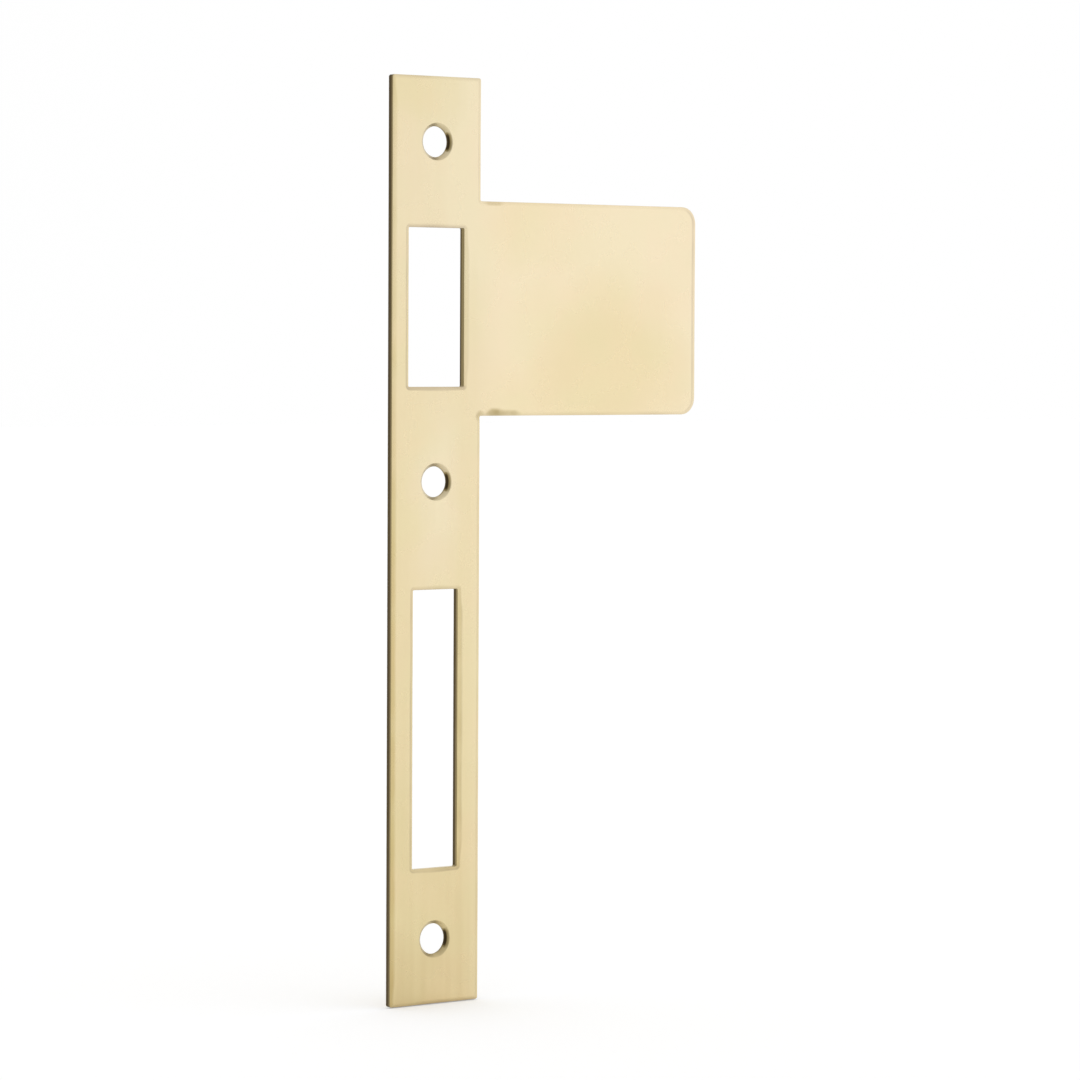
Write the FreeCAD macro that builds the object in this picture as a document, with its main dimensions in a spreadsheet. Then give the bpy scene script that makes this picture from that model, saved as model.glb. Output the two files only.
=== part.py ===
import FreeCAD, Part
import os
import Sketcher

# Door strike plate: one blank of sheet brass with a long flat tab on one side.
# The plate stands upright. X runs across its width towards the tab, Z runs up
# its length, and the back face that seats on the door frame lies in Y = 0.
# The polished front face looks along -Y. Sizes are in millimetres.

doc = FreeCAD.newDocument("strike_plate")

SIZES = [
    ("plate_width", 24.0),
    ("plate_length", 205.0),
    ("sheet_thick", 1.8),
    ("plate_corner", 0.5),
    ("tab_reach", 61.7),
    ("tab_height", 47.6),
    ("tab_rise", 51.55),
    ("tab_corner", 3.8),
    ("root_corner", 0.4),
    ("latch_width", 15.15),
    ("latch_height", 35.05),
    ("latch_rise", 51.75),
    ("bolt_width", 12.25),
    ("bolt_height", 61.8),
    ("bolt_drop", 41.45),
    ("slot_corner", 0.3),
    ("end_hole_inset", 14.35),
    ("mid_hole_rise", 13.25),
    ("hole_dia", 6.8),
    ("sink_dia", 8.4),
    ("sink_angle", 90.0),
    ("sink_lip", 0.25),
    ("break_width", 0.35),
    ("break_share", 0.5),
    ("roll_width", 0.42),
    ("roll_depth", 0.1),
    ("back_round", 0.12),
    ("low_mark_place", 4.2),
    ("low_mark_length", 5.4),
    ("low_mark_height", 1.4),
    ("low_mark_depth", 0.4),
    ("low_tail_place", 7.0),
    ("low_tail_length", 8.8),
    ("low_tail_height", 1.2),
    ("low_tail_depth", 0.28),
    ("top_mark_place", 3.4),
    ("top_mark_length", 5.4),
    ("top_mark_height", 1.0),
    ("top_mark_depth", 0.3),
]

sheet = doc.addObject("Spreadsheet::Sheet", "sizes")
for row, (alias, value) in enumerate(SIZES, start=1):
    sheet.set("A%d" % row, alias)
    sheet.set("B%d" % row, str(value))
    sheet.setAlias("B%d" % row, alias)
doc.recompute()

body = doc.addObject("PartDesign::Body", "strike_plate")
body.Label = "strike_plate"


def origin_plane(role):
    """The body's own base plane with this role."""
    for feature in body.Origin.OriginFeatures:
        if feature.Role == role:
            return feature
    raise RuntimeError("no plane " + role)


def new_sketch(name, role):
    """An empty sketch on one of the body's base planes."""
    sketch = body.newObject("Sketcher::SketchObject", name)
    sketch.AttachmentSupport = [(origin_plane(role), "")]
    sketch.MapMode = "FlatFace"
    return sketch


def bind(sketch, name, constraint, expression):
    """Add a named dimension and drive it from the sheet."""
    index = sketch.addConstraint(constraint)
    sketch.renameConstraint(index, name)
    sketch.setExpression("Constraints." + name, expression)


def rounded_outline(sketch, label, sides, corners):
    """A closed run of upright and level sides joined by tangent corner arcs.

    sides: (name, run, place, expression for that place) in order, where run is
    "upright" for a side at a fixed X or "level" for one at a fixed Z.
    corners: the size that sets the arc between each side and the next one.
    """
    count = len(sides)
    first = sketch.GeometryCount
    places = [side[2] for side in sides]
    points = []
    for i in range(count):
        after = (i + 1) % count
        if sides[i][1] == "upright":
            points.append(FreeCAD.Vector(places[i], places[after], 0))
        else:
            points.append(FreeCAD.Vector(places[after], places[i], 0))
    for i in range(count):
        along = (points[i] - points[i - 1]).normalize()
        onward = (points[(i + 1) % count] - points[i]).normalize()
        start = points[i - 1] + along * sheet.get(corners[i - 1])
        end = points[i] - along * sheet.get(corners[i])
        sketch.addGeometry(Part.LineSegment(start, end), False)
        radius = sheet.get(corners[i])
        leave = points[i] + onward * radius
        middle = end + onward * radius
        half_way = middle + (points[i] - middle).normalize() * radius
        sketch.addGeometry(Part.Arc(end, half_way, leave), False)
    for i in range(count):
        line = first + 2 * i
        arc = line + 1
        onward_line = first + (2 * i + 2) % (2 * count)
        turn = (points[i] - points[i - 1]).cross(points[(i + 1) % count] - points[i]).z
        enter, leave = (1, 2) if turn > 0 else (2, 1)
        sketch.addConstraint(Sketcher.Constraint("Tangent", line, 2, arc, enter))
        sketch.addConstraint(Sketcher.Constraint("Tangent", arc, leave, onward_line, 1))
    for i, (name, run, place, expression) in enumerate(sides):
        line = first + 2 * i
        sketch.addConstraint(Sketcher.Constraint("Vertical" if run == "upright" else "Horizontal", line))
        kind = "DistanceX" if run == "upright" else "DistanceY"
        bind(sketch, label + "_" + name, Sketcher.Constraint(kind, -1, 1, line, 1, place), expression)
        bind(sketch, label + "_" + name + "_corner",
             Sketcher.Constraint("Radius", line + 1, sheet.get(corners[i])), "sizes." + corners[i])


def flat_edges(shape, level):
    """Names of the straight and rounded outline edges lying in the plane Y = level."""
    names = []
    for i, edge in enumerate(shape.Edges, start=1):
        if len(edge.Vertexes) != 2:
            continue
        middle = edge.valueAt((edge.FirstParameter + edge.LastParameter) / 2)
        ys = [v.Y for v in edge.Vertexes] + [middle.y]
        if max(abs(y - level) for y in ys) < 1e-6:
            names.append("Edge%d" % i)
    return names


def rounded(name, base, edges, alias):
    """Round the named edges of a feature with a radius from the sheet."""
    feature = body.newObject("PartDesign::Fillet", name)
    feature.Base = (base, edges)
    feature.setExpression("Radius", "sizes." + alias)
    base.Visibility = False
    doc.recompute()
    return feature


# The blank: plate, side tab and both slots cut from the sheet in one outline.
half_width = sheet.plate_width / 2
half_length = sheet.plate_length / 2
tab_low = sheet.tab_rise - sheet.tab_height / 2
tab_high = sheet.tab_rise + sheet.tab_height / 2
LEFT = "-sizes.plate_width / 2"
RIGHT = "sizes.plate_width / 2"
TAB_LOW = "sizes.tab_rise - sizes.tab_height / 2"
TAB_HIGH = "sizes.tab_rise + sizes.tab_height / 2"
blank_sketch = new_sketch("blank_outline", "XZ_Plane")
rounded_outline(blank_sketch, "plate", [
    ("bottom", "level", -half_length, "-sizes.plate_length / 2"),
    ("right_low", "upright", half_width, RIGHT),
    ("tab_low", "level", tab_low, TAB_LOW),
    ("tab_end", "upright", half_width + sheet.tab_reach, RIGHT + " + sizes.tab_reach"),
    ("tab_high", "level", tab_high, TAB_HIGH),
    ("right_high", "upright", half_width, RIGHT),
    ("top", "level", half_length, "sizes.plate_length / 2"),
    ("left", "upright", -half_width, LEFT),
], ["plate_corner", "root_corner", "tab_corner", "tab_corner", "root_corner", "plate_corner",
    "plate_corner", "plate_corner"])


def slot_outline(label, middle, middle_expression):
    """One slot, centred across the plate and on the given height."""
    width = sheet.get(label + "_width")
    height = sheet.get(label + "_height")
    across = "sizes." + label + "_width / 2"
    along = "sizes." + label + "_height / 2"
    rounded_outline(blank_sketch, label, [
        ("bottom", "level", middle - height / 2, middle_expression + " - " + along),
        ("right", "upright", width / 2, across),
        ("top", "level", middle + height / 2, middle_expression + " + " + along),
        ("left", "upright", -width / 2, "-" + across),
    ], ["slot_corner"] * 4)


# Upper slot for the spring latch, lower slot for the deadbolt.
slot_outline("latch", sheet.latch_rise, "sizes.latch_rise")
slot_outline("bolt", -sheet.bolt_drop, "-sizes.bolt_drop")
doc.recompute()

blank = body.newObject("PartDesign::Pad", "blank")
blank.Profile = blank_sketch
blank.setExpression("Length", "sizes.sheet_thick")
doc.recompute()


def flat_face(shape, level):
    """The largest face lying in the plane Y = level."""
    found = [f for f in shape.Faces if abs(f.CenterOfMass.y - level) < 1e-6
             and f.BoundBox.YLength < 1e-6]
    return max(found, key=lambda f: f.Area)


def sloped(name, base, edges, level, across, deep, flip=False):
    """Slope the flat face at this level down to its named edges.

    across is the slope's size on the flat face and deep the expression for it on
    the wall; flip is for edges whose wall comes first.
    """
    before = flat_face(base.Shape, level).Area
    feature = body.newObject("PartDesign::Chamfer", name)
    feature.Base = (base, edges)
    feature.ChamferType = "Two distances"
    feature.FlipDirection = flip
    feature.setExpression("Size", deep)
    feature.setExpression("Size2", "sizes." + across)
    base.Visibility = False
    doc.recompute()
    expected = sheet.get(across) * sum(base.Shape.getElement(edge).Length for edge in edges)
    taken = before - flat_face(feature.Shape, level).Area
    if abs(taken - expected) > 0.1 * expected:
        raise RuntimeError("%s takes %.2f of its face, not %.2f" % (name, taken, expected))
    return feature


# Blanking drags the front face down along every cut edge; the back edges are only broken.
rolled_edges = sloped("rolled_edges", blank, flat_edges(blank.Shape, -sheet.sheet_thick),
                      -sheet.sheet_thick, "roll_width", "sizes.roll_depth")
back_edges = rounded("back_edges", rolled_edges, flat_edges(rolled_edges.Shape, 0.0), "back_round")

# Three countersunk screw holes down the plate's centre line, drilled from the front.
hole_sketch = new_sketch("screw_centres", "XZ_Plane")
hole_sketch.setExpression("AttachmentOffset.Base.z", "sizes.sheet_thick")
hole_places = [
    ("top_hole", half_length - sheet.end_hole_inset, "sizes.plate_length / 2 - sizes.end_hole_inset"),
    ("mid_hole", sheet.mid_hole_rise, "sizes.mid_hole_rise"),
    ("low_hole", sheet.end_hole_inset - half_length, "sizes.end_hole_inset - sizes.plate_length / 2"),
]
for i, (name, z, rise) in enumerate(hole_places):
    hole_sketch.addGeometry(Part.Circle(FreeCAD.Vector(0, z, 0), FreeCAD.Vector(0, 0, 1),
                                        sheet.hole_dia / 2), False)
    hole_sketch.addConstraint(Sketcher.Constraint("PointOnObject", i, 3, -2))
    bind(hole_sketch, name, Sketcher.Constraint("DistanceY", -1, 1, i, 3, z), rise)
    bind(hole_sketch, name + "_dia", Sketcher.Constraint("Diameter", i, sheet.hole_dia), "sizes.hole_dia")
doc.recompute()

before = body.Shape.Volume
holes = body.newObject("PartDesign::Hole", "screw_holes")
holes.Profile = hole_sketch
holes.ThreadType = "None"
holes.DepthType = "ThroughAll"
holes.setExpression("Diameter", "sizes.hole_dia")
holes.HoleCutType = "Countersink"
holes.HoleCutCustomValues = True
holes.setExpression("HoleCutDiameter", "sizes.sink_dia")
holes.setExpression("HoleCutCountersinkAngle", "sizes.sink_angle")
doc.recompute()
drilled = 3 * 3.14159 * (sheet.hole_dia / 2) ** 2 * sheet.sheet_thick
if before - holes.Shape.Volume < drilled * 0.99:
    raise RuntimeError("the screw holes did not go through the sheet")


def hole_rims(shape, level):
    """Names of the three round edges where the holes meet the plane Y = level."""
    names = []
    for i, edge in enumerate(shape.Edges, start=1):
        if len(edge.Vertexes) == 1 and abs(edge.CenterOfMass.y - level) < 1e-6:
            names.append("Edge%d" % i)
    if len(names) != 3:
        raise RuntimeError("three hole rims were expected")
    return names


# Below its countersink each hole breaks out wider towards the back.
SINK_DEPTH = "(sizes.sink_dia - sizes.hole_dia) / 2 / tan(sizes.sink_angle / 2)"
BREAK_DEPTH = "(sizes.sheet_thick - %s) * sizes.break_share" % SINK_DEPTH
broken = sloped("break_out", holes, hole_rims(holes.Shape, 0.0), 0.0,
                "break_width", BREAK_DEPTH, flip=True)

# Polishing rounds the rim where each countersink meets the front face.
rounded("sink_rims", broken, hole_rims(broken.Shape, -sheet.sheet_thick), "sink_lip")


def root_mark(name, edge, inward):
    """A shallow hollow scooped out of the front edge of the tab near its root.

    The scoop is a wide cylinder lying along the sheet. It is deepest at the tab's
    edge, and its axis tilts so that it leaves the front face a little way in.
    """
    size = "sizes." + name
    depth = sheet.get(name + "_depth")
    height = sheet.get(name + "_height")
    length = sheet.get(name + "_length")
    radius = length ** 2 / (8 * depth)
    tilt = "atan(%s_depth / %s_height)" % (size, size)
    clear = 0.3
    sketch = new_sketch(name + "_circle", "XY_Plane")
    sketch.AttachmentOffset = FreeCAD.Placement(
        FreeCAD.Vector(0, 0, 0), FreeCAD.Rotation(FreeCAD.Vector(inward, 0, 0), 10.0))
    sketch.setExpression("AttachmentOffset.Rotation.Angle", tilt)
    sketch.setExpression("AttachmentOffset.Base.x", "sizes.plate_width / 2 + %s_place" % size)
    sketch.setExpression("AttachmentOffset.Base.y", "%g * sin(%s) - sizes.sheet_thick" % (clear, tilt))
    sketch.setExpression("AttachmentOffset.Base.z",
                         "%s %s %g * cos(%s)" % (edge, "-" if inward > 0 else "+", clear, tilt))
    middle = FreeCAD.Vector(0, depth - radius, 0)
    sketch.addGeometry(Part.Circle(middle, FreeCAD.Vector(0, 0, 1), radius), False)
    sketch.addConstraint(Sketcher.Constraint("PointOnObject", 0, 3, -2))
    bind(sketch, "scoop_radius", Sketcher.Constraint("Radius", 0, radius),
         "%s_length ^ 2 / (8 * %s_depth)" % (size, size))
    bind(sketch, "scoop_centre", Sketcher.Constraint("DistanceY", -1, 1, 0, 3, depth - radius),
         "%s_depth - %s_length ^ 2 / (8 * %s_depth)" % (size, size, size))
    doc.recompute()
    before = body.Shape.Volume
    pocket = body.newObject("PartDesign::Pocket", name)
    pocket.Profile = sketch
    pocket.Reversed = inward > 0
    pocket.setExpression("Length", "2 * %s_height + 1" % size)
    doc.recompute()
    taken = before - pocket.Shape.Volume
    if taken < 1e-3 or taken > length * height * depth:
        raise RuntimeError(name + " did not cut a shallow hollow")
    return pocket


# Tool marks at both ends of the tab's root; the lower one tails off along the edge.
root_mark("low_mark", TAB_LOW, 1)
root_mark("low_tail", TAB_LOW, 1)
top_mark = root_mark("top_mark", TAB_HIGH, -1)
body.Tip = top_mark
doc.recompute()

for obj in doc.Objects:
    if "Invalid" in obj.State or "Error" in obj.State:
        raise RuntimeError(obj.Name + " is " + str(obj.State))
    if obj.isDerivedFrom("Part::Feature") and not obj.isDerivedFrom("Sketcher::SketchObject"):
        if obj.Shape.isNull() or not obj.Shape.isValid():
            raise RuntimeError(obj.Name + " has no valid shape")
if len(body.Shape.Solids) != 1:
    raise RuntimeError("the plate is not one solid")

os.makedirs("parts", exist_ok=True)
body.Shape.exportStep("parts/strike_plate.step")
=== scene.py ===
import math
from collections import namedtuple

import bpy
from mathutils import Matrix, Vector, noise
from mathutils.geometry import delaunay_2d_cdt


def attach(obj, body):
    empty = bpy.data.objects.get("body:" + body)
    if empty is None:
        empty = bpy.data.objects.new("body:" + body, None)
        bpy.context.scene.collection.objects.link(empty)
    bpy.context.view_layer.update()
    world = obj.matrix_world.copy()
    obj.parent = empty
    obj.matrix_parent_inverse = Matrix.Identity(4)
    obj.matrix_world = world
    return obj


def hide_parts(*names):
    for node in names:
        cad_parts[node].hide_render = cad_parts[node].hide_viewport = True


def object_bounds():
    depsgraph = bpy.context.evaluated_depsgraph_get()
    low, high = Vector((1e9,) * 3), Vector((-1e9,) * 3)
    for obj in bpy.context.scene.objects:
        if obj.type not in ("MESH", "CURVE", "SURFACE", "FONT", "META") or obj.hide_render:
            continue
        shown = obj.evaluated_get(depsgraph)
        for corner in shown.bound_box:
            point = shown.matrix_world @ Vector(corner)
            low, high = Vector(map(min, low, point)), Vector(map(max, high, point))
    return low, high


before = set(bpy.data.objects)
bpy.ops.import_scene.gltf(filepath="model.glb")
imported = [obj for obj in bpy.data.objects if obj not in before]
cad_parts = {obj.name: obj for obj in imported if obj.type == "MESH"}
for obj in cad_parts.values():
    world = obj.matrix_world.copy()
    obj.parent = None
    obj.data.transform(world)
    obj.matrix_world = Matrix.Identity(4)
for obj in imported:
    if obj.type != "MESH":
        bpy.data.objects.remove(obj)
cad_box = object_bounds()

MM = 0.001

# Sizes in millimetres, as in the part's source. The back face lies in y = 0.
PLATE_WIDTH = 24.0
PLATE_LENGTH = 205.0
SHEET_THICK = 1.8
PLATE_CORNER = 0.5
TAB_REACH = 61.7
TAB_HEIGHT = 47.6
TAB_RISE = 51.55
TAB_CORNER = 3.8
ROOT_CORNER = 0.4
LATCH_WIDTH = 15.15
LATCH_HEIGHT = 35.05
LATCH_RISE = 51.75
BOLT_WIDTH = 12.25
BOLT_HEIGHT = 61.8
BOLT_DROP = 41.45
SLOT_CORNER = 0.3
END_HOLE_INSET = 14.35
MID_HOLE_RISE = 13.25
HOLE_RADIUS = 3.4
SINK_RADIUS = 4.2
SINK_DEPTH = 0.8
SINK_LIP = 0.25
BREAK_WIDTH = 0.35
BREAK_DEPTH = 0.5
BACK_ROUND = 0.12

# Rolled front edge: how far the slope reaches across the face, how deep it ends and the
# round between the slope and the wall.
ROLL_WIDTH = 0.9
ROLL_DEPTH = 0.14
EDGE_ROUND = 0.08

TAB_LOW = TAB_RISE - TAB_HEIGHT / 2
TAB_HIGH = TAB_RISE + TAB_HEIGHT / 2
TAB_END = PLATE_WIDTH / 2 + TAB_REACH

# Camera: seen from the front and left, a little above the middle of the plate.
CAMERA_YAW = math.radians(37.5)
CAMERA_PITCH = math.radians(2.493)
CAMERA_ROLL = math.radians(0.274)
CAMERA_DISTANCE = 979.746 * MM
CAMERA_ASIDE = -22.964 * MM
CAMERA_RISE = -0.403 * MM
FOCAL_WIDTHS = 2053.55 / 500.0
SENSOR_WIDTH = 36.0
CLIP_NEAR = 0.01
CLIP_FAR = 50.0
FRONT_Y = -SHEET_THICK * MM


def add_camera():
    """The photograph's viewing angle, with the plate left of the middle of the frame."""
    ahead = Vector((math.sin(CAMERA_YAW), math.cos(CAMERA_YAW), 0))
    right = Vector((math.cos(CAMERA_YAW), -math.sin(CAMERA_YAW), 0))
    up = Vector((0, 0, 1))
    look = math.cos(CAMERA_PITCH) * ahead - math.sin(CAMERA_PITCH) * up
    over = math.cos(CAMERA_PITCH) * up + math.sin(CAMERA_PITCH) * ahead
    side = math.cos(CAMERA_ROLL) * right + math.sin(CAMERA_ROLL) * over
    top = math.cos(CAMERA_ROLL) * over - math.sin(CAMERA_ROLL) * right
    place = -(side * CAMERA_ASIDE + top * CAMERA_RISE + look * CAMERA_DISTANCE)
    place = place + Vector((0, FRONT_Y, 0))
    data = bpy.data.cameras.new("camera")
    data.sensor_fit = "HORIZONTAL"
    data.sensor_width = SENSOR_WIDTH
    data.lens = SENSOR_WIDTH * FOCAL_WIDTHS
    data.clip_start = CLIP_NEAR
    data.clip_end = CLIP_FAR
    camera = bpy.data.objects.new("camera", data)
    bpy.context.scene.collection.objects.link(camera)
    turn = Matrix((side, top, -look)).transposed().to_4x4()
    camera.matrix_world = Matrix.Translation(place) @ turn
    bpy.context.scene.camera = camera


# Outlines are lists of (x, z, corner radius), anticlockwise as seen from the front.
PLATE_OUTLINE = [
    (-PLATE_WIDTH / 2, -PLATE_LENGTH / 2, PLATE_CORNER),
    (PLATE_WIDTH / 2, -PLATE_LENGTH / 2, PLATE_CORNER),
    (PLATE_WIDTH / 2, TAB_LOW, ROOT_CORNER),
    (TAB_END, TAB_LOW, TAB_CORNER),
    (TAB_END, TAB_HIGH, TAB_CORNER),
    (PLATE_WIDTH / 2, TAB_HIGH, ROOT_CORNER),
    (PLATE_WIDTH / 2, PLATE_LENGTH / 2, PLATE_CORNER),
    (-PLATE_WIDTH / 2, PLATE_LENGTH / 2, PLATE_CORNER),
]


def slot_outline(width, height, middle):
    """The four corners of a slot centred across the plate."""
    low = middle - height / 2
    high = middle + height / 2
    return [
        (-width / 2, low, SLOT_CORNER),
        (width / 2, low, SLOT_CORNER),
        (width / 2, high, SLOT_CORNER),
        (-width / 2, high, SLOT_CORNER),
    ]


# Steps round each corner, and the smallest corner radius that an inset may leave.
ARC_STEPS = 8
SMALLEST_RADIUS = 0.12


def inset_loop(corners, inset):
    """Points of a square-sided outline moved sideways into the loop by inset.

    Every inset gives the same number of points, about one for each millimetre of a
    straight side, so that loops can be joined.
    """
    count = len(corners)
    tops = [Vector((x, z)) for x, z, radius in corners]
    arcs = []
    for i in range(count):
        along = (tops[i] - tops[i - 1]).normalized()
        onward = (tops[(i + 1) % count] - tops[i]).normalized()
        turn = along.x * onward.y - along.y * onward.x
        left = Vector((-along.y, along.x)) + Vector((-onward.y, onward.x))
        tip = tops[i] + left * inset
        radius = max(corners[i][2] - math.copysign(inset, inset * turn), SMALLEST_RADIUS)
        middle = tip - along * radius + onward * radius
        arc = []
        for step in range(ARC_STEPS + 1):
            angle = math.pi / 2 * step / ARC_STEPS
            arc.append(middle + radius * (along * math.sin(angle) - onward * math.cos(angle)))
        arcs.append(arc)
    points = []
    for i in range(count):
        points.extend(arcs[i])
        following = arcs[(i + 1) % count]
        span = (tops[(i + 1) % count] - tops[i]).length
        pieces = max(2, int(span))
        for step in range(1, pieces):
            points.append(arcs[i][-1].lerp(following[0], step / pieces))
    return points


def hill(value, low, high, soft):
    """1 from low to high, falling smoothly to 0 over the distance soft on either side."""
    away = max(low - value, value - high, 0.0) / soft
    if away >= 1.0:
        return 0.0
    return 0.5 + 0.5 * math.cos(math.pi * away)


# Tool marks at the tab's root: strength, then the distances from the root where each starts
# and ends and the length over which it fades, in millimetres. All but the corner's lie on the
# tab's own edges, past MARKS_BEGIN, and fade out within MARK_REACH of them.
# The marks press the edge in, and their dark in the material is partly painted shade; the corner's dark
# is painted shade in the inside corner.
CORNER_SHADE_MARK = (0.55, 0.0, 0.2, 0.7)
LOW_MARK = (0.95, 2.9, 5.6, 1.3)
LOW_TAIL = (0.55, 2.9, 9.6, 2.2)
HIGH_MARK = (0.55, 2.6, 4.6, 2.2)
MARKS_BEGIN = 0.3
MARK_REACH = 1.2


def pressed(mark, distance):
    """The strength of one tool mark at a distance from the root."""
    strength, start, end, fade = mark
    return strength * hill(distance, start, end, fade)


def tool_mark(x, z):
    """How strongly the marks near the tab's root press the edge at this place."""
    from_root = x - PLATE_WIDTH / 2
    corner = pressed(CORNER_SHADE_MARK, math.hypot(from_root, z - TAB_LOW))
    if from_root < MARKS_BEGIN:
        return corner
    low = max(pressed(LOW_MARK, from_root), pressed(LOW_TAIL, from_root))
    low *= hill(z, TAB_LOW, TAB_LOW, MARK_REACH)
    high = pressed(HIGH_MARK, from_root)
    high *= hill(z, TAB_HIGH, TAB_HIGH, MARK_REACH)
    return max(corner, low, high)


# Values kept at each point for the material: how far it is sheared wall and not face, which also sets
# the walls' painted shade; the yellow tint and the shade of the rolled rim, both painted reflection and
# shade that follow the way the rim faces; and the dark of a tool mark, partly painted shade.
LAYERS = ("cut", "yellow", "dull", "mark")

# Settings of the triangulation that fills the flat faces.
INSIDE_ONLY = 1
FILL_TOLERANCE = 1e-6


class MeshMaker:
    """Collects rings of points with the values of the material's layers."""

    def __init__(self):
        self.points = []
        self.values = {name: [] for name in LAYERS}
        self.faces = []

    def ring(self, places):
        """Add points given as (x, depth below the front face, z, layer values)."""
        first = len(self.points)
        for x, depth, z, layers in places:
            self.points.append((x * MM, (depth - SHEET_THICK) * MM, z * MM))
            for name, value in zip(LAYERS, layers):
                self.values[name].append(value)
        return list(range(first, len(self.points)))

    def join(self, a, b, outward):
        """Quads between two rings; outward says which way round they face."""
        count = len(a)
        for i in range(count):
            j = (i + 1) % count
            quad = (a[i], a[j], b[j], b[i])
            self.faces.append(quad if outward else quad[::-1])

    def fill(self, rings, facing_front):
        """Flat face inside the first ring with the other rings left open."""
        flat = []
        sides = []
        owners = []
        for number, ring in enumerate(rings):
            first = len(flat)
            count = len(ring)
            sides.extend((first + i, first + (i + 1) % count) for i in range(count))
            owners.extend([number] * count)
            flat.extend(ring)
        places = [Vector((self.points[i][0], self.points[i][2])) / MM for i in flat]
        filled = delaunay_2d_cdt(places, sides, [], INSIDE_ONLY, FILL_TOLERANCE)
        triangles = filled[2]
        sources = filled[3]
        for triangle in triangles:
            corners = [sources[i][0] for i in triangle]
            touched = {owners[i] for i in corners}
            # A triangle with all its corners on one inner ring lies across that opening.
            if len(touched) == 1 and 0 not in touched:
                continue
            face = [flat[i] for i in corners]
            self.faces.append(face if facing_front else face[::-1])

    def build(self, name):
        """The collected faces as a smooth mesh that carries the layers."""
        mesh = bpy.data.meshes.new(name)
        mesh.from_pydata(self.points, [], self.faces)
        mesh.update()
        for layer in LAYERS:
            data = mesh.attributes.new(layer, "FLOAT", "POINT").data
            data.foreach_set("value", self.values[layer])
        mesh.polygons.foreach_set("use_smooth", [True] * len(mesh.polygons))
        return mesh


# The roll from the face to the wall: share of its width, then the strength there of the yellow tint and
# the rim shade, painted reflection and shade of the tilted roll, a tool mark and the thin dark line,
# painted shade, that some edges show.
ROLL_STEPS = [
    (1.06, 0.0, 0.0, 0.0, 0.0),
    (1.0, 0.04, 0.0, 0.1, 0.15),
    (0.85, 0.3, 0.1, 0.5, 0.8),
    (0.65, 0.7, 0.3, 0.9, 1.0),
    (0.45, 0.95, 0.6, 1.0, 0.4),
    (0.28, 1.0, 0.85, 0.9, 0.1),
    (0.12, 1.0, 1.0, 0.75, 0.0),
]

# Strength of the painted rim shade on edges that face neither up nor down.
RIM_SHADE_ALL_ROUND = 0.05


def level_rim_shading(facing, up, down):
    """The painted rim shade that an edge has all round, and more of it where it faces up or down."""
    return RIM_SHADE_ALL_ROUND + up * max(facing.y, 0.0) + down * max(-facing.y, 0.0)


def outline_rim_shading(place, facing):
    """The outer edges get painted rim shade along their level runs, most of all below the plate."""
    up = 0.3 if place.x < PLATE_WIDTH / 2 else 0.08
    down = 0.42 if place.y < 0.0 else 0.25
    return level_rim_shading(facing, up, down)


def latch_rim_shading(place, facing):
    """The latch slot gets painted rim shade along both ends, and along the lower one more so to the
    right.
    """
    up = 0.7 + 0.02 * place.x
    return level_rim_shading(facing, up, down=0.65)


def bolt_rim_shading(place, facing):
    """The deadbolt slot gets a little painted rim shade along both ends, alike at every place."""
    return level_rim_shading(facing, up=0.3, down=0.4)


# Slow changes of the roll's shape and of its tints along an edge: waves per millimetre, the
# noise's second coordinate and the share of change.
WOBBLE_WAVES = 0.09
WOBBLE_ROW = 3.7
WIDTH_WOBBLE = 0.12
DEPTH_WOBBLE = 0.25
PATCH_WAVES = 0.16
PATCH_ROW = 9.1
PATCH_CHANGE = 0.5

# Extra width of the roll in millimetres: on edges that face left, at the tab's end, at the
# ends of the slots, and at tool marks on the tab's lower and upper edge. MARK_DEPTH is the
# extra depth at a mark.
WIDER_LEFT = 0.45
WIDER_TAB_END = 0.3
WIDER_SLOT_END = 0.12
MARK_SPREAD_LOW = 0.95
MARK_SPREAD_HIGH = 0.25
MARK_DEPTH = 0.14
# Near a corner, edges that face left and slot ends keep the plain width and then widen.
PLAIN_CORNER = 1.5
CORNER_FADE = 4.0

# Strength of the yellow tint and of the thin dark line, painted reflection and shade of the roll, on
# outer edges and in the slots.
YELLOW_ALL_ROUND = 0.25
YELLOW_LEFT_OUTER = 0.75
YELLOW_LEFT_SLOT = 0.4
LINE_RIGHT_STRONG = 0.45
LINE_RIGHT_OUTER = 0.2
LINE_LEFT_SLOT = 0.25
LINE_SILL = 0.4
# The yellow tint and the thin line on edges that face left are weaker on the upper half.
WEAKER_ABOVE = 30.0
WEAKER_ABOVE_FADE = 30.0
WEAKER_ABOVE_BY = 0.5
# The lower end of a slot faces up into the light, so its wall is lighter.
SILL_LIGHTER = 0.75

EdgePoint = namedtuple("EdgePoint", "width depth mark yellow dull line shade")


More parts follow.
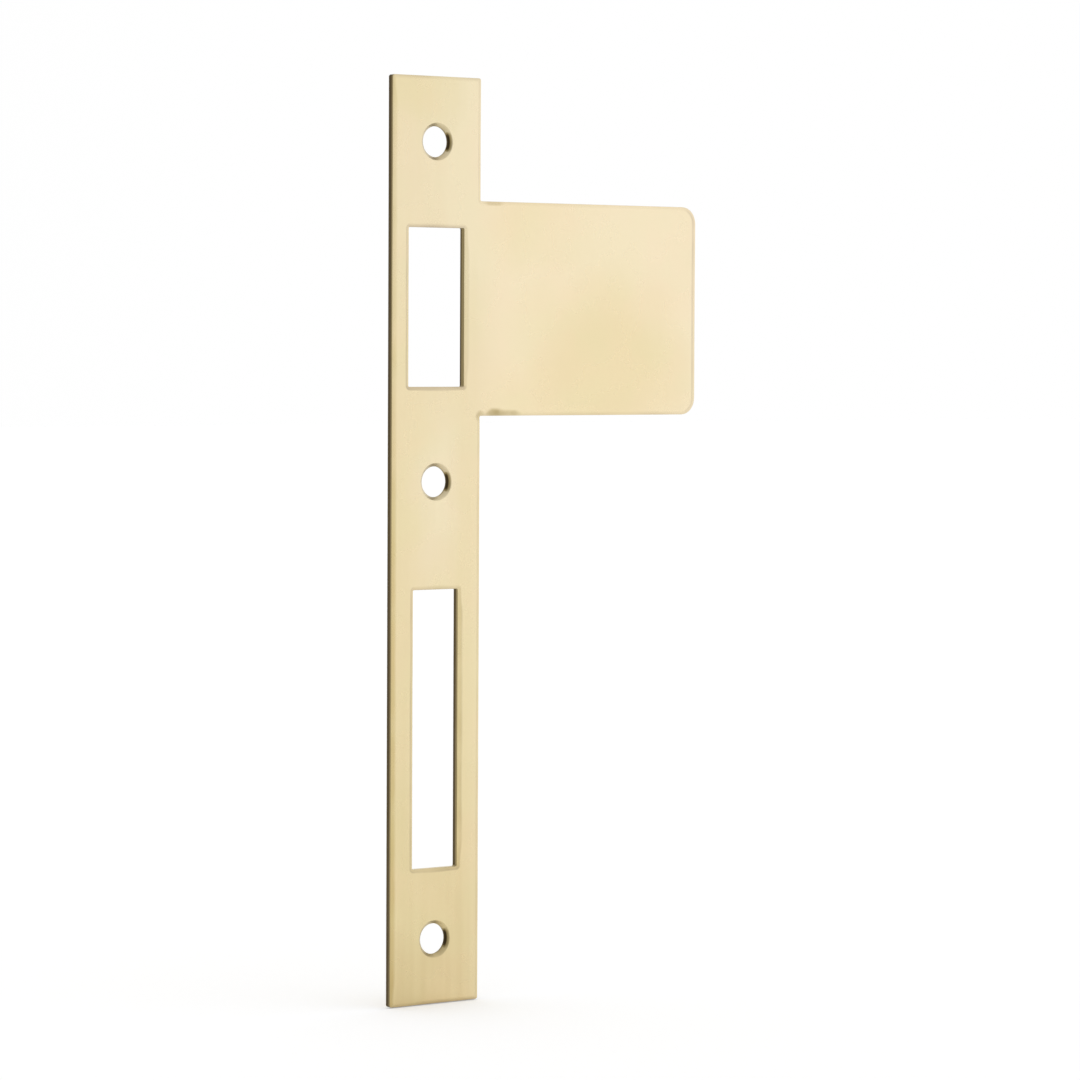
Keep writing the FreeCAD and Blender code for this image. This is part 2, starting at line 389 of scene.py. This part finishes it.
def edge_point(p, facing, corners, material_inside, rim_shading):
    """Width and depth of the roll, and strength of the painted rim tints, at one place on an edge."""
    wobble = noise.noise(Vector((p.x * WOBBLE_WAVES, WOBBLE_ROW, p.y * WOBBLE_WAVES)))
    change = noise.noise(Vector((p.x * PATCH_WAVES, PATCH_ROW, p.y * PATCH_WAVES)))
    patchy = 1.0 + PATCH_CHANGE * change
    tint_share = 1.0 - WEAKER_ABOVE_BY * hill(p.y, WEAKER_ABOVE, PLATE_LENGTH, WEAKER_ABOVE_FADE)
    from_corner = min((p - Vector((x, z))).length for x, z, radius in corners)
    clear = 1.0 - hill(from_corner, 0.0, PLAIN_CORNER, CORNER_FADE)
    left = max(-facing.x, 0.0)
    right = max(facing.x, 0.0)
    at_tab_end = p.x > TAB_END - TAB_CORNER
    if material_inside:
        mark = tool_mark(p.x, p.y)
        end = 0.0
        sill = 0.0
        left_tint = YELLOW_LEFT_OUTER
        left_line = 0.0
        right_line = LINE_RIGHT_STRONG if at_tab_end else LINE_RIGHT_OUTER
    else:
        mark = 0.0
        end = abs(facing.y)
        sill = max(facing.y, 0.0)
        left_tint = YELLOW_LEFT_SLOT
        left_line = LINE_LEFT_SLOT
        right_line = LINE_RIGHT_STRONG
    spread = MARK_SPREAD_LOW if p.y < TAB_RISE else MARK_SPREAD_HIGH
    wider = WIDER_LEFT * clear * left + WIDER_TAB_END * right * at_tab_end + spread * mark
    wider += WIDER_SLOT_END * clear * end
    return EdgePoint(
        width=ROLL_WIDTH * (1.0 + WIDTH_WOBBLE * wobble) + wider,
        depth=ROLL_DEPTH * (1.0 + DEPTH_WOBBLE * wobble) + MARK_DEPTH * mark,
        mark=mark,
        yellow=(YELLOW_ALL_ROUND + left_tint * left) * patchy * tint_share,
        dull=rim_shading(p, facing) * patchy,
        line=(right_line * right + left_line * left * tint_share + LINE_SILL * sill) * patchy,
        shade=1.0 - SILL_LIGHTER * sill,
    )


# The wall just below the roll: inset and depth in shares of EDGE_ROUND, then how far it is cut.
ROUND_STEPS = [
    (0.5, 0.1, 0.12),
    (0.13, 0.5, 0.3),
    (0.0, 1.0, 0.5),
]
# Height of the strip below them, the share of a tool mark's dark that the wall takes, and
# the least depth where the smooth part of the wall ends.
WALL_STRIP = 0.06
WALL_MARK = 0.8
LEAST_SMOOTH = 0.5
# The torn part of the wall stands back a little, and starts over the height TEAR_FADE.
TEAR_INSET = 0.02
TEAR_FADE = 0.22
TORN_INSET = 0.03
# Strips beside the back round, and the share of the round at its middle ring.
BACK_STRIP = 0.08
BACK_SHARE = 0.3
# Inset that shows which way each place on an edge faces.
FACING_STEP = 0.05


def cut_edge(maker, corners, material_inside, burnish, rim_shading):
    """Rings of one blanked edge, from the front face over the roll and wall to the back face.

    burnish is the share of the wall that the punch left smooth. rim_shading gives the strength of the
    painted rim shade at a place on the edge that faces a given way.
    """
    side = 1.0 if material_inside else -1.0
    cache = {}

    def loop_at(inset):
        """The edge's loop at an inset to the nearest thousandth, into the material."""
        key = round(inset, 3)
        if key not in cache:
            cache[key] = inset_loop(corners, side * key)
        return cache[key]

    edge = []
    for p, inner in zip(loop_at(0.0), loop_at(FACING_STEP)):
        facing = (p - inner).normalized()
        edge.append(edge_point(p, facing, corners, material_inside, rim_shading))

    def sloped(share, yellow, dull, mark, line):
        """One ring on the roll, at this share of its width from the wall."""
        places = []
        for i, point in enumerate(edge):
            reach = max(point.width * share, EDGE_ROUND)
            p = loop_at(reach)[i]
            drop = point.depth * (1.0 - reach / max(point.width, reach)) ** 2
            rim_shaded = dull * point.dull + line * point.line
            layers = (0.0, yellow * point.yellow, rim_shaded, mark * point.mark)
            places.append((p.x, drop, p.y, layers))
        return maker.ring(places)

    def upright(inset, below_roll, cut):
        """One ring on the wall, a distance below the end of the roll."""
        places = []
        for p, point in zip(loop_at(inset), edge):
            layers = (cut * point.shade, point.yellow, point.dull, WALL_MARK * point.mark)
            places.append((p.x, point.depth + below_roll, p.y, layers))
        return maker.ring(places)

    def level(inset, depth, cut):
        """One ring at a fixed depth below the front face."""
        places = []
        for p, point in zip(loop_at(inset), edge):
            places.append((p.x, depth, p.y, (cut * point.shade, 0.0, 0.0, 0.0)))
        return maker.ring(places)

    smooth_end = max(SHEET_THICK * burnish, LEAST_SMOOTH)
    round_start = SHEET_THICK - BACK_ROUND
    back = TORN_INSET + BACK_ROUND
    rings = [sloped(*step) for step in ROLL_STEPS]
    # How far each wall ring is cut sets its painted shade in the material.
    for inset, depth, cut in ROUND_STEPS:
        rings.append(upright(EDGE_ROUND * inset, EDGE_ROUND * depth, cut))
    rings.append(upright(0.0, EDGE_ROUND + WALL_STRIP, cut=0.55))
    rings.append(level(0.0, smooth_end, cut=0.65))
    rings.append(level(TEAR_INSET, smooth_end + TEAR_FADE, cut=0.95))
    rings.append(level(TORN_INSET, round_start - BACK_STRIP, cut=1.0))
    rings.append(level(TORN_INSET, round_start, cut=1.0))
    bend = BACK_ROUND * BACK_SHARE
    rings.append(level(TORN_INSET + bend, SHEET_THICK - bend, cut=0.8))
    rings.append(level(back, SHEET_THICK, cut=0.3))
    rings.append(level(back + BACK_STRIP, SHEET_THICK, cut=0.0))
    for a, b in zip(rings, rings[1:]):
        maker.join(a, b, not material_inside)
    return rings[0], rings[-1]


# Points round a hole, steps down the rounded lip and the slope of the countersink in degrees.
HOLE_STEPS = 96
LIP_STEPS = 4
SINK_SLOPE = 45.0
# Two flat rings on the face outside the lip, and how far the inner one is cut.
FACE_RING = 0.3
LIP_RING = 0.02
LIP_RING_CUT = 0.04
# How far the lip is cut, which darkens it as painted shade, at its start, and how much more at its end
# on most of the ring and on the dark arc.
LIP_CUT = 0.06
LIP_MORE = 0.16
LIP_MORE_DARK = 0.24
# The countersink: distance out from the bore, then how far it is cut on most of the ring and
# on the dark arc.
SINK_STEPS = [
    (0.42, 0.25, 0.5),
    (0.26, 0.26, 1.15),
    (0.04, 0.28, 1.25),
    (0.0, 0.32, 1.15),
]
# The wider mouth at the back: distance out from the bore, the share of its depth that is
# left, then the two cuts as above.
BREAK_STEPS = [
    (0.0, 1.0, 0.45, 0.85),
    (0.04, 0.9, 0.5, 1.0),
    (BREAK_WIDTH * 0.94, 0.06, 0.5, 0.9),
    (BREAK_WIDTH, 0.0, 0.3, 0.4),
]
# The dark arc, a painted shadow on the right of each hole, spans the directions whose cosine is near 1,
# fading below that.
ARC_FROM = 0.95
ARC_FADE = 0.17
# Slow change of the ring's painted shade: waves per millimetre, second coordinate and share.
HOLE_PATCH_WAVES = 0.3
HOLE_PATCH_ROW = 1.3
HOLE_PATCH_CHANGE = 0.25


def hole_profile():
    """Steps down a hole: radius, depth, then the cut on most of the ring and on the dark arc."""
    rim = SINK_RADIUS + SINK_LIP * math.tan(math.radians(SINK_SLOPE / 2))
    steps = [(rim + FACE_RING, 0.0, 0.0, 0.0)]
    steps.append((rim + LIP_RING, 0.0, LIP_RING_CUT, LIP_RING_CUT))
    for i in range(1, LIP_STEPS + 1):
        share = i / LIP_STEPS
        turn = math.radians(SINK_SLOPE * i / LIP_STEPS)
        radius = rim - SINK_LIP * math.sin(turn)
        depth = SINK_LIP * (1.0 - math.cos(turn))
        steps.append((radius, depth, LIP_CUT + LIP_MORE * share, LIP_CUT + LIP_MORE_DARK * share))
    for out, plain, dark in SINK_STEPS:
        steps.append((HOLE_RADIUS + out, SINK_DEPTH - out, plain, dark))
    for out, left, plain, dark in BREAK_STEPS:
        steps.append((HOLE_RADIUS + out, SHEET_THICK - BREAK_DEPTH * left, plain, dark))
    steps.append((HOLE_RADIUS + BREAK_WIDTH + BACK_STRIP, SHEET_THICK, 0.0, 0.0))
    return steps


def screw_hole(maker, height):
    """Rings of one countersunk hole, from the front face to where it breaks out at the back.

    Each countersink gets painted shade all round, and a darker painted shadow over a short arc on its
    right.
    """
    rings = []
    for radius, depth, plain, dark in hole_profile():
        places = []
        for i in range(HOLE_STEPS):
            angle = 2 * math.pi * i / HOLE_STEPS
            x = radius * math.cos(angle)
            z = height + radius * math.sin(angle)
            change = noise.noise(Vector((x * HOLE_PATCH_WAVES, HOLE_PATCH_ROW, z * HOLE_PATCH_WAVES)))
            patchy = 1.0 + HOLE_PATCH_CHANGE * change
            arc = hill(math.cos(angle), ARC_FROM, 1.0, ARC_FADE)
            cut = plain * patchy * (1.0 - arc) + dark * arc
            places.append((x, depth, z, (cut, 0.0, 0.0, 0.0)))
        rings.append(maker.ring(places))
    for a, b in zip(rings, rings[1:]):
        maker.join(a, b, True)
    return rings[0], rings[-1]


# Share of each wall that the punch left smooth.
OUTLINE_SMOOTH = 0.3
LATCH_SMOOTH = 0.6
BOLT_SMOOTH = 0.4


def add_plate():
    """The strike plate as one sheet with rolled edges, slots and countersunk holes."""
    maker = MeshMaker()
    latch_slot = slot_outline(LATCH_WIDTH, LATCH_HEIGHT, LATCH_RISE)
    bolt_slot = slot_outline(BOLT_WIDTH, BOLT_HEIGHT, -BOLT_DROP)
    cuts = [
        cut_edge(maker, PLATE_OUTLINE, True, OUTLINE_SMOOTH, outline_rim_shading),
        cut_edge(maker, latch_slot, False, LATCH_SMOOTH, latch_rim_shading),
        cut_edge(maker, bolt_slot, False, BOLT_SMOOTH, bolt_rim_shading),
        screw_hole(maker, PLATE_LENGTH / 2 - END_HOLE_INSET),
        screw_hole(maker, MID_HOLE_RISE),
        screw_hole(maker, END_HOLE_INSET - PLATE_LENGTH / 2),
    ]
    maker.fill([front for front, back in cuts], True)
    maker.fill([back for front, back in cuts], False)
    plate = bpy.data.objects.new("brass_plate", maker.build("brass_plate"))
    bpy.context.scene.collection.objects.link(plate)
    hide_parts("strike_plate")
    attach(plate, "root")
    return plate


# Sockets of the mix node that carry colours.
MIX_FIRST = 6
MIX_SECOND = 7
MIX_RESULT = 2


class Nodes:
    """Short calls for building one node tree."""

    def __init__(self, tree):
        self.tree = tree
        self.tree.nodes.clear()

    def add(self, kind, **settings):
        """A new node with some of its properties set."""
        node = self.tree.nodes.new(kind)
        for name, value in settings.items():
            setattr(node, name, value)
        return node

    def link(self, source, target):
        self.tree.links.new(source, target)

    def math(self, operation, a, b=None, clamp=False):
        """A sum or the like of one or two sockets or numbers."""
        node = self.add("ShaderNodeMath", operation=operation, use_clamp=clamp)
        for socket, value in zip(node.inputs, (a, b)):
            if value is None:
                continue
            if isinstance(value, (int, float)):
                socket.default_value = value
            else:
                self.link(value, socket)
        return node.outputs[0]

    def ramp(self, value, low, high, to_low=0.0, to_high=1.0, smooth=True):
        """The value taken from the range low to high into the range to_low to to_high."""
        node = self.add("ShaderNodeMapRange")
        node.interpolation_type = "SMOOTHSTEP" if smooth else "LINEAR"
        self.link(value, node.inputs[0])
        for i, number in enumerate((low, high, to_low, to_high), start=1):
            node.inputs[i].default_value = number
        return node.outputs[0]

    def noise(self, vector, scale, detail, rough):
        """Noise with about scale waves to the metre."""
        node = self.add("ShaderNodeTexNoise")
        self.link(vector, node.inputs["Vector"])
        node.inputs["Scale"].default_value = scale
        node.inputs["Detail"].default_value = detail
        node.inputs["Roughness"].default_value = rough
        return node.outputs[0]

    def stretch(self, vector, scale):
        """The vector with each axis multiplied by its own scale."""
        node = self.add("ShaderNodeMapping")
        self.link(vector, node.inputs["Vector"])
        node.inputs["Scale"].default_value = scale
        return node.outputs[0]

    def warp(self, vector, scale, reach):
        """The vector pushed about by slow noise, at most about half of reach each way."""
        cloud = self.add("ShaderNodeTexNoise")
        self.link(vector, cloud.inputs["Vector"])
        cloud.inputs["Scale"].default_value = scale
        push = self.add("ShaderNodeVectorMath", operation="MULTIPLY_ADD")
        self.link(cloud.outputs["Color"], push.inputs[0])
        push.inputs[1].default_value = (reach, reach, reach)
        push.inputs[2].default_value = (-reach / 2, -reach / 2, -reach / 2)
        moved = self.add("ShaderNodeVectorMath", operation="ADD")
        self.link(vector, moved.inputs[0])
        self.link(push.outputs[0], moved.inputs[1])
        return moved.outputs[0]

    def patch(self, vector, middle, half, level=0.0):
        """A soft patch: 1 near its middle (x, z), falling to 0 at its half widths.

        level is the share of the half widths over which it stays at 1.
        """
        axes = self.add("ShaderNodeSeparateXYZ")
        self.link(vector, axes.inputs[0])
        squares = []
        for axis, place, reach in ((0, middle[0], half[0]), (2, middle[1], half[1])):
            away = self.math("DIVIDE", self.math("SUBTRACT", axes.outputs[axis], place), reach)
            squares.append(self.math("MULTIPLY", away, away))
        return self.ramp(self.math("SQRT", self.math("ADD", *squares)), level, 1.0, 1.0, 0.0)

    def blend(self, factor, a, b, kind="MIX"):
        """Two colours blended by a factor; each is a socket or a tuple."""
        node = self.add("ShaderNodeMix", data_type="RGBA", blend_type=kind)
        if isinstance(factor, (int, float)):
            node.inputs[0].default_value = factor
        else:
            self.link(factor, node.inputs[0])
        for socket, value in ((node.inputs[MIX_FIRST], a), (node.inputs[MIX_SECOND], b)):
            if isinstance(value, tuple):
                socket.default_value = value
            else:
                self.link(value, socket)
        return node.outputs[MIX_RESULT]

    def colour_run(self, value, stops):
        """A colour ramp through (position, colour) stops."""
        node = self.add("ShaderNodeValToRGB")
        self.link(value, node.inputs[0])
        elements = node.color_ramp.elements
        elements[0].position, elements[0].color = stops[0]
        elements[1].position, elements[1].color = stops[-1]
        for position, colour in stops[1:-1]:
            element = elements.new(position)
            element.color = colour
        return node.outputs[0]


# Brass from the lower end of the plate, where painted shade makes it darkest and warmest, to the upper
# end.
PLATE_TONES_AND_SHADE = [
    (0.0, (0.695, 0.560, 0.315, 1.0)),
    (0.15, (0.768, 0.643, 0.376, 1.0)),
    (0.35, (0.816, 0.692, 0.424, 1.0)),
    (0.65, (0.850, 0.727, 0.464, 1.0)),
    (0.9, (0.871, 0.753, 0.515, 1.0)),
    (1.0, (0.893, 0.775, 0.540, 1.0)),
]
# Lighter and darker patches on the plate: middle (x, z), half widths, change up the tones.
PLATE_PATCHES = [
    ((-0.006, 0.102), (0.022, 0.020), -0.38),
    ((0.012, 0.076), (0.014, 0.026), 0.2),
    ((0.0, 0.008), (0.012, 0.034), 0.4),
    ((-0.007, -0.078), (0.016, 0.018), 0.1),
]
# Changes up the tones by slow clouds, by streaks and from the left edge to the right one, the last
# painted light that makes the right side lighter.
SLOW_CHANGE = 0.35
STREAK_CHANGE = 0.18
LEFT_CHANGE = -0.03
RIGHT_CHANGE = 0.09
HALF_LENGTH = PLATE_LENGTH / 2 * MM
HALF_WIDTH = PLATE_WIDTH / 2 * MM

# The tab's brass, lighter as painted light, and its yellower clouds: middle (x, z), half widths, share
# of them at full strength, and strength.
TAB_PAINTED_LIGHT = (0.930, 0.800, 0.565, 1.0)
TAB_CLOUD = (0.874, 0.741, 0.466, 1.0)
TAB_CLOUDS = [
    ((0.045, 0.037), (0.034, 0.034), 0.25, 1.0),
    ((0.026, 0.030), (0.026, 0.020), 0.0, 0.7),
    ((0.026, 0.071), (0.026, 0.018), 0.0, 0.55),
]
# Where across the sheet the plate's tones give way to the tab's.
TAB_TONES_FROM = 0.007
TAB_TONES_FULL = 0.021

# Tints that multiply the brass: two slight hues, the rims' painted reflection and shade, and tool marks,
# darker partly as painted shade.
HUE_ROSY = (1.005, 0.99, 0.985, 1.0)
HUE_GREEN = (0.99, 1.0, 0.98, 1.0)
RIM_YELLOW = (0.84, 0.80, 0.66, 1.0)
RIM_SHADE = (0.61, 0.59, 0.64, 1.0)
MARK_AND_SHADE = (0.60, 0.56, 0.42, 1.0)
# Sheared walls, their dark painted shade over the real smooth and torn zones: smooth part, torn part and
# the dark arc in a hole, a painted shadow.
BURNISHED_SHADE = (0.300, 0.232, 0.105, 1.0)
FRACTURED_SHADE = (0.105, 0.074, 0.031, 1.0)
HOLE_ARC_SHADE = (0.045, 0.032, 0.014, 1.0)
# Where each of them starts and is full, by how far a place is cut.
WALL_SHADES = [
    (0.1, 0.5, BURNISHED_SHADE),
    (0.62, 0.95, FRACTURED_SHADE),
    (1.0, 1.25, HOLE_ARC_SHADE),
]

# Roughness of the face where it is cleanest and most smudged, and what a wall adds.
ROUGH_CLEAN = 0.22
ROUGH_SMUDGED = 0.32
ROUGH_WALL = 0.25
# Bump of the polishing lines against the torn grain, its strength and its height in metres.
LINES_SHARE = 0.06
GRAIN_STRENGTH = 0.12
GRAIN_HEIGHT = 0.00005


def brass_material():
    """Satin polished sheet brass: clouded front, painted shade toward the lower end and painted light to
    the right, rolled rims tinted with painted reflection and shade, and sheared walls darkened as
    painted shade.
    """
    material = bpy.data.materials.new("brass")
    material.use_nodes = True
    n = Nodes(material.node_tree)
    out = n.add("ShaderNodeOutputMaterial")
    shader = n.add("ShaderNodeBsdfPrincipled")
    n.link(shader.outputs[0], out.inputs[0])
    shader.inputs["Metallic"].default_value = 1.0

    coords = n.add("ShaderNodeTexCoord")
    place = coords.outputs["Object"]
    axes = n.add("ShaderNodeSeparateXYZ")
    n.link(place, axes.inputs[0])
    across = axes.outputs[0]
    along = axes.outputs[2]
    layers = {}
    for name in LAYERS:
        layers[name] = n.add("ShaderNodeAttribute", attribute_name=name).outputs["Fac"]
    cut = layers["cut"]

    # Long gradient down the plate, darker and warmer toward the lower end as painted shade and lighter
    # to the right as painted light, with slow clouds and faint streaks.
    height = n.ramp(along, -HALF_LENGTH, HALF_LENGTH, 0.0, 1.0, smooth=False)
    slow = n.noise(place, scale=32.0, detail=3.0, rough=0.5)
    height = n.math("ADD", height, n.math("MULTIPLY", n.math("SUBTRACT", slow, 0.5), SLOW_CHANGE))
    streaked = n.stretch(n.warp(place, scale=40.0, reach=0.001), (520.0, 520.0, 22.0))
    streaks = n.noise(streaked, scale=1.0, detail=2.0, rough=0.5)
    height = n.math("ADD", height, n.math("MULTIPLY", n.math("SUBTRACT", streaks, 0.5), STREAK_CHANGE))
    sideways = n.ramp(across, -HALF_WIDTH, HALF_WIDTH, LEFT_CHANGE, RIGHT_CHANGE, smooth=False)
    height = n.math("ADD", height, sideways)
    bent = n.warp(place, scale=60.0, reach=0.012)
    for middle, half, change in PLATE_PATCHES:
        height = n.math("ADD", height, n.math("MULTIPLY", n.patch(bent, middle, half), change))
    plate_colour = n.colour_run(height, PLATE_TONES_AND_SHADE)

    # The tab is lighter as painted light, with a broad yellower cloud low in its middle and fainter ones
    # nearer the root.
    drift = n.warp(place, scale=38.0, reach=0.022)
    cloud = 0.0
    for middle, half, level, strength in TAB_CLOUDS:
        one_cloud = n.math("MULTIPLY", n.patch(drift, middle, half, level), strength)
        cloud = n.math("MAXIMUM", one_cloud, cloud)
    tab_colour = n.blend(cloud, TAB_PAINTED_LIGHT, TAB_CLOUD)
    on_tab = n.ramp(across, TAB_TONES_FROM, TAB_TONES_FULL)
    colour = n.blend(on_tab, plate_colour, tab_colour)

    # Slight changes of hue from place to place, as handled brass has.
    hue = n.noise(n.warp(place, scale=60.0, reach=0.01), scale=70.0, detail=2.0, rough=0.5)
    rosy = n.blend(1.0, colour, HUE_ROSY, "MULTIPLY")
    green = n.blend(1.0, colour, HUE_GREEN, "MULTIPLY")
    colour = n.blend(n.ramp(hue, low=0.35, high=0.65), green, rosy)

    # Rims tinted with painted reflection and shade, tool marks darkened partly as painted shade, then
    # the painted shade of the sheared walls and the holes.
    colour = n.blend(layers["yellow"], colour, n.blend(1.0, colour, RIM_YELLOW, "MULTIPLY"))
    colour = n.blend(layers["dull"], colour, n.blend(1.0, colour, RIM_SHADE, "MULTIPLY"))
    specks = n.noise(place, scale=700.0, detail=2.0, rough=0.5)
    broken = n.ramp(specks, low=0.3, high=0.6, to_low=0.75, to_high=1.0)
    mark_shading = n.math("MULTIPLY", layers["mark"], broken)
    colour = n.blend(mark_shading, colour, n.blend(1.0, colour, MARK_AND_SHADE, "MULTIPLY"))
    for start, full, tone in WALL_SHADES:
        colour = n.blend(n.ramp(cut, start, full), colour, tone)
    n.link(colour, shader.inputs["Base Color"])

    smudge = n.noise(place, scale=60.0, detail=4.0, rough=0.6)
    rough = n.ramp(smudge, low=0.3, high=0.7, to_low=ROUGH_CLEAN, to_high=ROUGH_SMUDGED)
    rough = n.math("ADD", rough, n.math("MULTIPLY", cut, ROUGH_WALL))
    n.link(rough, shader.inputs["Roughness"])

    # Fine polishing lines along the sheet, and a coarser torn grain on the walls.
    lines = n.noise(n.stretch(place, (9000.0, 9000.0, 500.0)), scale=1.0, detail=2.0, rough=0.6)
    lines = n.math("MULTIPLY", lines, LINES_SHARE)
    torn = n.noise(n.stretch(place, (4000.0, 900.0, 4000.0)), scale=1.0, detail=3.0, rough=0.6)
    torn = n.math("MULTIPLY", torn, n.ramp(cut, low=0.6, high=1.0))
    grain = n.add("ShaderNodeBump")
    grain.inputs["Strength"].default_value = GRAIN_STRENGTH
    grain.inputs["Distance"].default_value = GRAIN_HEIGHT
    n.link(n.math("ADD", lines, torn), grain.inputs["Height"])
    n.link(grain.outputs[0], shader.inputs["Normal"])
    return material


# Studio light by the direction's x: dim as far as the first value, full from the second on.
DIM_SIDE = -0.45
FULL_SIDE = 0.58
DIM_LIGHT = 0.75
FULL_LIGHT = 1.0
STUDIO_WHITE = (1.0, 1.0, 1.0, 1.0)


def add_world():
    """Soft white studio, a little dimmer from the left."""
    world = bpy.data.worlds.new("studio")
    bpy.context.scene.world = world
    world.use_nodes = True
    n = Nodes(world.node_tree)
    out = n.add("ShaderNodeOutputWorld")
    back = n.add("ShaderNodeBackground")
    back.inputs["Color"].default_value = STUDIO_WHITE
    n.link(back.outputs[0], out.inputs[0])
    coords = n.add("ShaderNodeTexCoord")
    axes = n.add("ShaderNodeSeparateXYZ")
    n.link(coords.outputs["Generated"], axes.inputs[0])
    light = n.ramp(axes.outputs[0], DIM_SIDE, FULL_SIDE, DIM_LIGHT, FULL_LIGHT)
    n.link(light, back.inputs["Strength"])


# Floor sizes in metres. Camera, reflected and transmitted rays also see a glow, which lifts
# the floor to white.
FLOOR_HALF = 6.0
FLOOR_GAP = 0.0002
FLOOR_WHITE = (0.85, 0.85, 0.85, 1.0)
FLOOR_GLOW = 0.28


def add_floor():
    """Plain white floor just below the plate's lower end, to take its shadow."""
    half = FLOOR_HALF
    level = cad_box[0][2] - FLOOR_GAP
    mesh = bpy.data.meshes.new("floor")
    corners = [(-half, -half, level), (half, -half, level), (half, half, level), (-half, half, level)]
    mesh.from_pydata(corners, [], [(0, 1, 2, 3)])
    floor = bpy.data.objects.new("floor", mesh)
    bpy.context.scene.collection.objects.link(floor)
    material = bpy.data.materials.new("floor_white")
    material.use_nodes = True
    n = Nodes(material.node_tree)
    out = n.add("ShaderNodeOutputMaterial")
    diffuse = n.add("ShaderNodeBsdfDiffuse")
    diffuse.inputs["Color"].default_value = FLOOR_WHITE
    glow = n.add("ShaderNodeEmission")
    path = n.add("ShaderNodeLightPath")
    seen = n.math("ADD", path.outputs["Is Camera Ray"], path.outputs["Is Glossy Ray"])
    seen = n.math("ADD", seen, path.outputs["Is Transmission Ray"], clamp=True)
    n.link(n.math("MULTIPLY", seen, FLOOR_GLOW), glow.inputs["Strength"])
    both = n.add("ShaderNodeAddShader")
    n.link(diffuse.outputs[0], both.inputs[0])
    n.link(glow.outputs[0], both.inputs[1])
    n.link(both.outputs[0], out.inputs[0])
    mesh.materials.append(material)


bpy.context.scene.view_settings.view_transform = "Standard"
add_camera()
add_world()
add_floor()
brass_plate = add_plate()
brass_plate.data.materials.append(brass_material())
